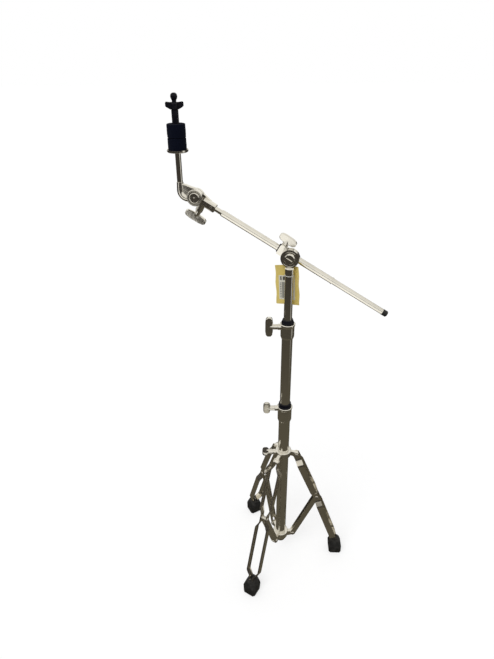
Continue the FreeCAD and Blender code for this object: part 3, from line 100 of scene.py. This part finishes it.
class Nodes:
    """A node tree with short ways to add and join nodes. An input is a value or another node's output."""

    def __init__(self, tree):
        self.tree = tree
        tree.nodes.clear()

    def add(self, kind, *inputs, **settings):
        node = self.tree.nodes.new(kind)
        for name, value in settings.items():
            setattr(node, name, value)
        for place, value in inputs:
            self.put(node.inputs[place], value)
        return node

    def put(self, socket, value):
        if isinstance(value, bpy.types.NodeSocket):
            self.tree.links.new(value, socket)
        else:
            socket.default_value = value

    def maths(self, operation, *values):
        return self.add("ShaderNodeMath", *enumerate(values), operation=operation).outputs[0]

    def blend(self, share, low, high):
        node = self.add("ShaderNodeMix", (0, share), (6, low), (7, high), data_type="RGBA")
        return node.outputs[2]

    def ramp(self, value, low, high, start=0.0, end=1.0):
        """Eases from start to end as the value goes from low to high."""
        node = self.add("ShaderNodeMapRange", (0, value), (1, low), (2, high), (3, start), (4, end))
        node.interpolation_type = "SMOOTHSTEP"
        return node.outputs[0]

    def noise(self, place, scale, detail=2.0, rough=0.5):
        settings = ("Scale", scale), ("Detail", detail), ("Roughness", rough)
        return self.add("ShaderNodeTexNoise", (0, place), *settings).outputs[0]


WHITE = (1, 1, 1, 1)
ROOM_GREY = (0.62, 0.62, 0.62, 1)
WINDOW_TURN = math.radians(-14)
WINDOW_OUTSIDE = math.radians(13)
WINDOW_INSIDE = math.radians(7)


def world():
    """White to the camera. Metal sees a room: a pale ceiling above, a dark floor below, a window at the right.

    Heights are those of the direction: 1 straight up, 0 level, -1 straight down.
    """
    background = bpy.data.worlds.new("room")
    background.use_nodes = True
    bpy.context.scene.world = background
    t = Nodes(background.node_tree)
    ray = t.add("ShaderNodeLightPath").outputs
    way = t.add("ShaderNodeTexCoord").outputs["Generated"]
    x, y, z = t.add("ShaderNodeSeparateXYZ", (0, way)).outputs
    far_floor, near_floor = (0.046, 0.040, 0.033, 1), (0.10, 0.088, 0.062, 1)
    below = t.blend(t.ramp(z, -0.3, -0.75), far_floor, near_floor)
    sand, cream = (0.80, 0.77, 0.70, 1), (0.95, 0.93, 0.86, 1)
    patches = t.ramp(t.noise(way, 1.7, 1.0), 0.35, 0.7)
    above = t.blend(patches, sand, cream)
    skyline = t.ramp(z, -0.02, 0.16)
    room = t.blend(skyline, below, above)
    off = t.maths("ABSOLUTE", t.maths("SUBTRACT", t.maths("ARCTAN2", y, x), WINDOW_TURN))
    window = t.ramp(off, WINDOW_OUTSIDE, WINDOW_INSIDE)
    sill = t.ramp(z, -0.6, -0.3)
    daylight = (0.9, 0.88, 0.8, 1)
    room = t.blend(t.maths("MULTIPLY", window, sill), room, daylight)
    seen = t.maths("MAXIMUM", ray["Is Camera Ray"], ray["Is Transmission Ray"])
    colour = t.blend(ray["Is Glossy Ray"], ROOM_GREY, room)
    colour = t.blend(seen, colour, WHITE)
    shader = t.add("ShaderNodeBackground", (0, colour), (1, 1.0)).outputs[0]
    t.add("ShaderNodeOutputWorld", (0, shader))


SKY_POWER = 1.3
SKY_WIDTH = math.radians(35)
SKY_LEAN = math.radians(32)
SKY_SIDE = math.radians(-22)


def light():
    """One wide soft light from above and in front."""
    data = bpy.data.lights.new("sky_panel", "SUN")
    data.energy = SKY_POWER
    data.angle = SKY_WIDTH
    lamp = bpy.data.objects.new("sky_panel", data)
    lamp.rotation_euler = (SKY_LEAN, SKY_SIDE, 0)
    lamp.visible_glossy = False
    bpy.context.scene.collection.objects.link(lamp)


PANEL_COLOUR = (1.0, 0.98, 0.91)
BOOM_WAY = Vector((-0.857, 0.160, 0.489))


def panel(name, place, target, along, width, height, energy, mirrors):
    """A soft pale panel at place, facing target with its width along a way. Only the named nodes mirror it."""
    data = bpy.data.lights.new(name, "AREA")
    data.shape = "RECTANGLE"
    data.size = width
    data.size_y = height
    data.energy = energy
    data.color = PANEL_COLOUR
    lamp = bpy.data.objects.new(name, data)
    back = (place - target).normalized()
    side = (along - back * along.dot(back)).normalized()
    lamp.matrix_world = axes(side, back.cross(side), back, place)
    lamp.visible_camera = False
    bpy.context.scene.collection.objects.link(lamp)
    receivers = bpy.data.collections.new(name + "_mirrors")
    for node in mirrors:
        receivers.objects.link(nodes[node])
    lamp.light_linking.receiver_collection = receivers


def panels():
    """What the boom, two wing bolts and the cymbal's tilter mirror besides the room."""
    panel("boom_panel", Vector((-0.2, -0.4, 0.55)), Vector((-0.1, 0, 0.95)), BOOM_WAY,
          width=1.6, height=1.0, energy=5.0,
          mirrors=["boom_tube", "boom_back_rod", "boom_stop_ring", "boom_tilter_head", "boom_wing_bolt"])
    panel("floor_panel", Vector((-0.15, -0.5, 0.02)), Vector((-0.05, 0, 0.4)), Vector((1, 0, 0)),
          width=0.7, height=0.6, energy=1.3,
          mirrors=["base_wing_bolt", "hub_wing_bolt", "lower_hub"])
    panel("left_panel", Vector((-0.75, -0.45, 0.75)), Vector((-0.3, 0, 1.05)), Vector((0, 1, 0)),
          width=0.36, height=0.5, energy=0.57,
          mirrors=["cymbal_tilter_wing_bolt", "cymbal_tilter_arm"])


FLOOR_GREY = (0.42, 0.42, 0.42, 1)
FLOOR_GLOW = 0.62
FLOOR_REACH = 20
FLOOR_DROP = 0.2 * mm


def floor():
    """A pale floor that shows white and keeps a faint shadow."""
    material = bpy.data.materials.new("pale_floor")
    material.use_nodes = True
    t = Nodes(material.node_tree)
    ray = t.add("ShaderNodeLightPath").outputs
    matt = t.add("ShaderNodeBsdfDiffuse", (0, FLOOR_GREY)).outputs[0]
    strength = t.maths("MULTIPLY", ray["Is Camera Ray"], FLOOR_GLOW)
    glow = t.add("ShaderNodeEmission", (0, WHITE), (1, strength)).outputs[0]
    both = t.add("ShaderNodeAddShader", (0, matt), (1, glow)).outputs[0]
    t.add("ShaderNodeOutputMaterial", (0, both))
    mesh = bpy.data.meshes.new("floor")
    corners = [(-FLOOR_REACH, -FLOOR_REACH, 0), (FLOOR_REACH, -FLOOR_REACH, 0),
               (FLOOR_REACH, FLOOR_REACH, 0), (-FLOOR_REACH, FLOOR_REACH, 0)]
    mesh.from_pydata(corners, [], [(0, 1, 2, 3)])
    mesh.materials.append(material)
    sheet = bpy.data.objects.new("floor", mesh)
    sheet.location.z = -FLOOR_DROP
    sheet.visible_glossy = False
    bpy.context.scene.collection.objects.link(sheet)


# ---------------------------------------------------------------- materials

def surface(name):
    """A new material: its nodes, its shader and the place on the object in metres."""
    material = bpy.data.materials.new(name)
    material.use_nodes = True
    t = Nodes(material.node_tree)
    shader = t.add("ShaderNodeBsdfPrincipled")
    t.add("ShaderNodeOutputMaterial", (0, shader.outputs[0]))
    place = t.add("ShaderNodeTexCoord").outputs["Object"]
    return material, t, shader, place


def dents(t, shader, height, strength, distance):
    """Bends the shader's normal by a height, which stands for so many metres at full strength."""
    bump = t.add("ShaderNodeBump", ("Height", height), ("Strength", strength), ("Distance", distance))
    t.put(shader.inputs["Normal"], bump.outputs[0])


SMEAR_SHADE = 0.86
SMEAR_ROUGH = 2.4


def chrome(name, colour, rough, stretch, wave, wave_scale, peel):
    """Chromium plate: long waves that bend its reflections, fine peel, and smears that dull it in places."""
    material, t, shader, place = surface(name)
    along = t.add("ShaderNodeMapping", (0, place), ("Scale", stretch)).outputs[0]
    smear = t.noise(along, scale=22, detail=3, rough=0.6)
    dull = tuple(c * SMEAR_SHADE for c in colour[:3]) + (1,)
    t.put(shader.inputs["Base Color"], t.blend(t.ramp(smear, 0.35, 0.75), colour, dull))
    t.put(shader.inputs["Metallic"], 1.0)
    t.put(shader.inputs["Roughness"], t.ramp(smear, 0.3, 0.8, rough, rough * SMEAR_ROUGH))
    waves = t.noise(along, scale=wave_scale, detail=1)
    grain = t.noise(place, scale=900, detail=2)
    height = t.maths("ADD", waves, t.maths("MULTIPLY", grain, peel))
    dents(t, shader, height, strength=wave, distance=1.0 * mm)
    return material


DUST_ROUGH = 0.25


def satin(name, colour, pale, rough, scale, depth, gloss=0.4):
    """Moulded plastic or rubber: a fine grain, with pale dust and scuffs in patches."""
    material, t, shader, place = surface(name)
    dust = t.noise(place, scale=60, detail=4, rough=0.65)
    t.put(shader.inputs["Base Color"], t.blend(t.ramp(dust, 0.45, 0.85), colour, pale))
    t.put(shader.inputs["Roughness"], t.ramp(dust, 0.3, 0.8, rough, min(1.0, rough + DUST_ROUGH)))
    t.put(shader.inputs["Specular IOR Level"], gloss)
    grain = t.noise(place, scale, detail=3, rough=0.6)
    dents(t, shader, grain, strength=depth, distance=0.4 * mm)
    return material


def felt_cloth():
    """Black felt: fibres that lie flat, in soft tufts."""
    material, t, shader, place = surface("pressed_felt")
    laid = t.add("ShaderNodeMapping", (0, place), ("Scale", (1, 1, 2.4))).outputs[0]
    fibre = t.noise(laid, scale=1400, detail=4, rough=0.75)
    tufts = t.noise(place, scale=260, detail=3, rough=0.7)
    night, navy = (0.0015, 0.0022, 0.006, 1), (0.007, 0.009, 0.020, 1)
    t.put(shader.inputs["Base Color"], t.blend(fibre, night, navy))
    t.put(shader.inputs["Roughness"], t.ramp(tufts, 0.2, 0.8, 0.85, 1.0))
    t.put(shader.inputs["Sheen Weight"], 0.02)
    t.put(shader.inputs["Sheen Roughness"], 0.5)
    t.put(shader.inputs["Specular IOR Level"], 0.04)
    pile = t.maths("ADD", fibre, t.maths("MULTIPLY", tufts, 1.5))
    dents(t, shader, pile, strength=0.8, distance=0.6 * mm)
    return material


def card(name, colour, deep):
    """Printed card: fine fibres, and a tone that drifts from one colour to a deeper one."""
    material, t, shader, place = surface(name)
    fibre = t.noise(place, scale=500, detail=4, rough=0.7)
    stain = t.noise(place, scale=25, detail=2, rough=0.5)
    mix = t.maths("ADD", t.maths("MULTIPLY", fibre, 0.35), t.maths("MULTIPLY", stain, 0.65))
    t.put(shader.inputs["Base Color"], t.blend(t.ramp(mix, 0.35, 0.65), colour, deep))
    t.put(shader.inputs["Roughness"], t.ramp(fibre, 0.3, 0.7, 0.45, 0.6))
    dents(t, shader, mix, strength=0.25, distance=0.5 * mm)
    return material


def label_paper():
    """White paper with a few plain grey blocks and rules, which say nothing."""
    material, t, shader, place = surface("label_paper")
    fibre = t.noise(place, scale=600, detail=4, rough=0.7)
    x, y, z = t.add("ShaderNodeSeparateXYZ", (0, place)).outputs
    edge = 0.4

    def band(value, low, high):
        """One between low and high millimetres, with soft edges."""
        rise = t.ramp(value, (low - edge) * mm, (low + edge) * mm)
        fall = t.ramp(value, (high + edge) * mm, (high - edge) * mm)
        return t.maths("MULTIPLY", rise, fall)

    def rules(period):
        """Lines across the label, one in each period of so many millimetres."""
        return t.ramp(t.maths("SINE", t.maths("MULTIPLY", z, 2 * math.pi / (period * mm))), -0.3, 0.3)

    page = band(z, -31, 8)
    worn = t.ramp(fibre, 0.2, 0.6, 0.75, 1.0)
    block = t.maths("MULTIPLY", t.maths("MULTIPLY", band(x, -9, 13), page), worn)
    ticks = t.maths("MULTIPLY", t.maths("MULTIPLY", band(x, 14.2, 17), page), rules(4.2))
    head = t.maths("MULTIPLY", t.maths("MAXIMUM", band(x, 13, 16.4), band(x, 5, 10.5)), band(z, 12.5, 21.5))
    ink = t.maths("MAXIMUM", t.maths("MULTIPLY", block, 0.72), t.maths("MAXIMUM", ticks, head))
    pale, dull, grey = (0.80, 0.78, 0.68, 1), (0.70, 0.68, 0.58, 1), (0.10, 0.095, 0.085, 1)
    paper = t.blend(t.ramp(fibre, 0.3, 0.7), pale, dull)
    t.put(shader.inputs["Base Color"], t.blend(ink, paper, grey))
    t.put(shader.inputs["Roughness"], t.ramp(fibre, 0.3, 0.7, 0.45, 0.6))
    dents(t, shader, fibre, strength=0.2, distance=0.3 * mm)
    return material


def brass():
    """Bare brass with the fine rings that a lathe leaves."""
    material, t, shader, place = surface("turned_brass")
    turned = t.add("ShaderNodeMapping", (0, place), ("Scale", (1, 1, 12))).outputs[0]
    rings = t.noise(turned, scale=300, detail=2)
    deep, bright = (0.62, 0.45, 0.18, 1), (0.80, 0.62, 0.30, 1)
    t.put(shader.inputs["Base Color"], t.blend(rings, deep, bright))
    t.put(shader.inputs["Metallic"], 1.0)
    t.put(shader.inputs["Roughness"], t.ramp(rings, 0.3, 0.7, 0.2, 0.32))
    dents(t, shader, rings, strength=0.3, distance=0.2 * mm)
    return material


PLATE = (0.86, 0.84, 0.79, 1)
WARM_PLATE = (0.84, 0.81, 0.74, 1)
ZINC = (0.74, 0.72, 0.68, 1)
EVEN = (1, 1, 1)
DRAWN = (1, 1, 0.12)
materials = {
    "chrome_tube": chrome(
        "tube_chrome", PLATE, rough=0.07, stretch=DRAWN, wave=0.10, wave_scale=26, peel=0.02),
    "chrome_casting": chrome(
        "cast_chrome", PLATE, rough=0.12, stretch=EVEN, wave=0.28, wave_scale=75, peel=0.05),
    "chrome_strip": chrome(
        "strip_chrome", WARM_PLATE, rough=0.12, stretch=EVEN, wave=0.22, wave_scale=40, peel=0.03),
    "plated_steel": chrome("zinc_plate", ZINC, rough=0.2, stretch=EVEN, wave=0.2, wave_scale=120, peel=0.1),
    "black_rubber": satin(
        "foot_rubber", (0.010, 0.010, 0.010, 1), (0.045, 0.043, 0.04, 1), rough=0.5, scale=700, depth=0.35),
    "black_plastic": satin(
        "moulded_plastic", (0.003, 0.003, 0.007, 1), (0.012, 0.012, 0.018, 1),
        rough=0.34, scale=1500, depth=0.15, gloss=0.18),
    "brass": brass(),
    "black_felt": felt_cloth(),
    "yellow_card": card("yellow_card", (0.84, 0.66, 0.21, 1), (0.74, 0.58, 0.16, 1)),
    "white_label": label_paper(),
    "clear_tie": satin(
        "clear_plastic", (0.6, 0.6, 0.56, 1), (0.7, 0.7, 0.66, 1), rough=0.3, scale=800, depth=0.1),
}


def finish_nodes():
    """Gives each carried-over node the material of its slot."""
    for row in frame["record"]["subparts"]:
        for place in nodes[row["node"]].material_slots:
            place.material = materials[row["material_slot"]]


# ---------------------------------------------------------------- pieces

def piece(name, mesh, slot, body, *stood_for):
    """A new piece with its slot's material, riding on a body in place of CAD nodes."""
    thing = bpy.data.objects.new(name, mesh)
    bpy.context.scene.collection.objects.link(thing)
    mesh.materials.append(materials[slot])
    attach(thing, body)
    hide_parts(*stood_for)
    return thing


def lathe(name, rings, count, close):
    """A smooth mesh of rings, each a function of the turn that gives (radius, height) in metres.

    When close is true the last ring joins the first, and otherwise flat ends cap the mesh.
    """
    mesh = bpy.data.meshes.new(name)
    form = bmesh.new()
    rows = []
    for ring in rings:
        row = []
        for i in range(count):
            turn = 2 * math.pi * i / count
            radius, height = ring(turn)
            row.append(form.verts.new((radius * math.cos(turn), radius * math.sin(turn), height)))
        rows.append(row)
    pairs = list(zip(rows, rows[1:]))
    if close:
        pairs.append((rows[-1], rows[0]))
    for low, high in pairs:
        for i in range(count):
            form.faces.new((low[i - 1], low[i], high[i], high[i - 1]))
    if not close:
        form.faces.new(reversed(rows[0]))
        form.faces.new(rows[-1])
    bmesh.ops.recalc_face_normals(form, faces=form.faces)
    form.to_mesh(mesh)
    form.free()
    for face in mesh.polygons:
        face.use_smooth = len(face.vertices) == 4
    return mesh


def felt(node, body):
    """A pressed felt washer: soft rounded rims, sides a little full, and a surface of matted fibres."""
    low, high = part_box(node)
    centre = (low + high) / 2
    outer = (high.x - low.x) / 2
    half = (high.z - low.z) / 2
    sleeve_low, sleeve_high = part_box("cymbal_sleeve")
    play = 0.25 * mm
    hole = (sleeve_high.x - sleeve_low.x) / 2 + play
    soft = 2.2 * mm
    full = 0.35 * mm
    flat_steps, rim_steps, side_steps = 5, 4, 14
    around = 112

    outline = [(hole, -half + 0.3 * mm), (hole + 0.5 * mm, -half)]
    outline += [(hole + (outer - soft - hole) * k / flat_steps, -half) for k in range(1, flat_steps + 1)]
    outline += [(outer - soft + soft * math.sin(a), -half + soft - soft * math.cos(a))
                for a in (math.radians(90 * k / (rim_steps + 1)) for k in range(1, rim_steps + 1))]
    lower = list(outline)
    for k in range(side_steps + 1):
        share = 2 * k / side_steps - 1
        outline.append((outer - full * share ** 2, share * (half - soft)))
    outline += [(r, -z) for r, z in reversed(lower)]

    def ring(r, z):
        """Points near the hole stay, and the rest sink a little under tufts of two sizes."""
        def at(turn):
            spot = Vector((r * math.cos(turn), r * math.sin(turn), z))
            tuft = noise.noise(spot * 700) * 0.16 * mm + noise.noise(spot * 190) * 0.22 * mm
            inward = max(0.0, 0.3 * mm + tuft)
            if r <= hole + mm:
                return r, z
            sunk = 1 - 0.012 * abs(noise.noise(spot * 400))
            return r - inward * min(1.0, r / outer), z * sunk
        return at

    mesh = lathe(node + "_cloth", [ring(r, z) for r, z in outline], around, close=True)
    mesh.transform(Matrix.Translation(centre))
    pad = piece(node + "_cloth", mesh, "black_felt", body, node)


def threads():
    """The rod's rolled thread, one start at a millimetre's pitch."""
    low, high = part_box("threaded_rod")
    centre = (low + high) / 2
    crest = (high.x - low.x) / 2
    pitch = 1.0 * mm
    depth = 0.5 * mm
    half = (high.z - low.z) / 2
    rings_per_turn = 4
    around = 20
    steps = int(2 * half / pitch) * rings_per_turn

    def ring(z):
        """A groove that has moved on by a turn for each pitch of height."""
        def at(turn):
            phase = (z / pitch - turn / (2 * math.pi)) % 1.0
            return crest - depth * (1 - abs(2 * phase - 1)), z
        return at

    rings = [ring(-half + 2 * half * k / steps) for k in range(steps + 1)]
    mesh = lathe("rolled_thread", rings, around, close=False)
    mesh.transform(Matrix.Translation(centre))
    piece("rolled_thread", mesh, "plated_steel", "cymbal_arm", "threaded_rod")


# The tag hangs square to the boom's heading and a little rolled. Its own axes are across, out and up.
TAG_TURN = math.radians(-10.6)
TAG_ROLL = math.radians(3)
TAG_WIDE = 53 * mm
TAG_TALL = 94 * mm
LABEL_WIDE = 36 * mm
LABEL_TALL = 58 * mm
TIE_HOLE = 2.2 * mm


def tag_frame():
    """The place and turn of the card's middle."""
    low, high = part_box("hang_tag")
    return (Matrix.Translation((low + high) / 2) @ Matrix.Rotation(TAG_TURN + math.pi, 4, "Z")
            @ Matrix.Rotation(TAG_ROLL, 4, "Y"))


FREE_FROM = 4 * mm
HELD_FROM = 9 * mm


def bowed(x, z):
    """How far the card stands out: flat on the tube, its free side curled forward, the other a little back.

    The free side curls more towards the top. The held side is nearly flat there, to clear the tilter's head.
    """
    free = max(0.0, -x - FREE_FROM) / (TAG_WIDE / 2 - FREE_FROM)
    held = max(0.0, x - HELD_FROM) / (TAG_WIDE / 2 - HELD_FROM)
    rise = 0.5 + z / TAG_TALL
    curl = (5 + 6 * rise) * mm * free ** 1.6
    lean = 2.4 * (1.05 - rise) * mm * held ** 1.5
    ripple = 0.35 * mm * math.sin(z / (9 * mm) + x / (14 * mm)) * min(1.0, free + 0.4 * held)
    return curl - lean + ripple


def leaf(name, width, height, place, thick, corner, wavy, holes=()):
    """A thin bowed sheet with rounded corners, wavy sides and round holes, centred at place on the card."""
    form = bmesh.new()
    across, up = 24, 40
    corner_steps = 4
    pull = 2.2
    rows = []
    for j in range(up + 1):
        rows.append([form.verts.new(((i / across - 0.5) * width, 0, (j / up - 0.5) * height))
                     for i in range(across + 1)])
    for j in range(up):
        for i in range(across):
            form.faces.new((rows[j][i], rows[j][i + 1], rows[j + 1][i + 1], rows[j + 1][i]))
    ends = [rows[0][0], rows[0][-1], rows[-1][0], rows[-1][-1]]
    bmesh.ops.bevel(form, geom=ends, offset=corner, segments=corner_steps, profile=0.5, affect="VERTICES")
    for x, z, radius in holes:
        hole = Vector((x, 0, z))
        inside = [f for f in form.faces if (f.calc_center_median() - hole).length < radius]
        bmesh.ops.delete(form, geom=inside, context="FACES")
        for edge in form.edges:
            if edge.is_boundary:
                for v in edge.verts:
                    reach = math.hypot(v.co.x - x, v.co.z - z)
                    if 0 < reach < radius * pull:
                        v.co.x = x + (v.co.x - x) * radius / reach
                        v.co.z = z + (v.co.z - z) * radius / reach
    for v in form.verts:
        side = 2 * v.co.x / width
        v.co.x += place[0] + wavy * math.sin(v.co.z / (7.5 * mm) + 1) * side ** 2
        v.co.z += place[2] + wavy * 0.6 * math.sin(v.co.x / (6 * mm)) * (2 * v.co.z / height) ** 2
        v.co.y = place[1] + bowed(v.co.x, v.co.z)
    made = bmesh.ops.extrude_face_region(form, geom=list(form.faces))
    for v in (g for g in made["geom"] if isinstance(g, bmesh.types.BMVert)):
        v.co.y -= thick
    bmesh.ops.recalc_face_normals(form, faces=form.faces)
    mesh = bpy.data.meshes.new(name)
    form.to_mesh(mesh)
    form.free()
    return mesh


def tag():
    """The card tag on its tie, with a plain paper label."""
    where = tag_frame()
    tie_low, tie_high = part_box("tag_tie")
    hung = where.inverted() @ Vector((0, 0, (tie_low.z + tie_high.z) / 2))
    back = leaf("tag_card", TAG_WIDE, TAG_TALL, (0, 0.12 * mm, 1 * mm),
                thick=0.35 * mm, corner=1.2 * mm, wavy=0.7 * mm, holes=[(hung.x, hung.z, TIE_HOLE)])
    sheet = piece("tag_card", back, "yellow_card", "upper", "hang_tag")
    sheet.matrix_world = where
    paper = leaf("tag_paper", LABEL_WIDE, LABEL_TALL, (1.5 * mm, 0.26 * mm, -5 * mm),
                 thick=0.12 * mm, corner=0.6 * mm, wavy=0)
    label = piece("tag_paper", paper, "white_label", "upper", "tag_label")
    label.matrix_world = where


camera()
world()
light()
panels()
floor()
finish_nodes()
felt("lower_felt", "cymbal_arm")
felt("upper_felt", "felt")
threads()
tag()
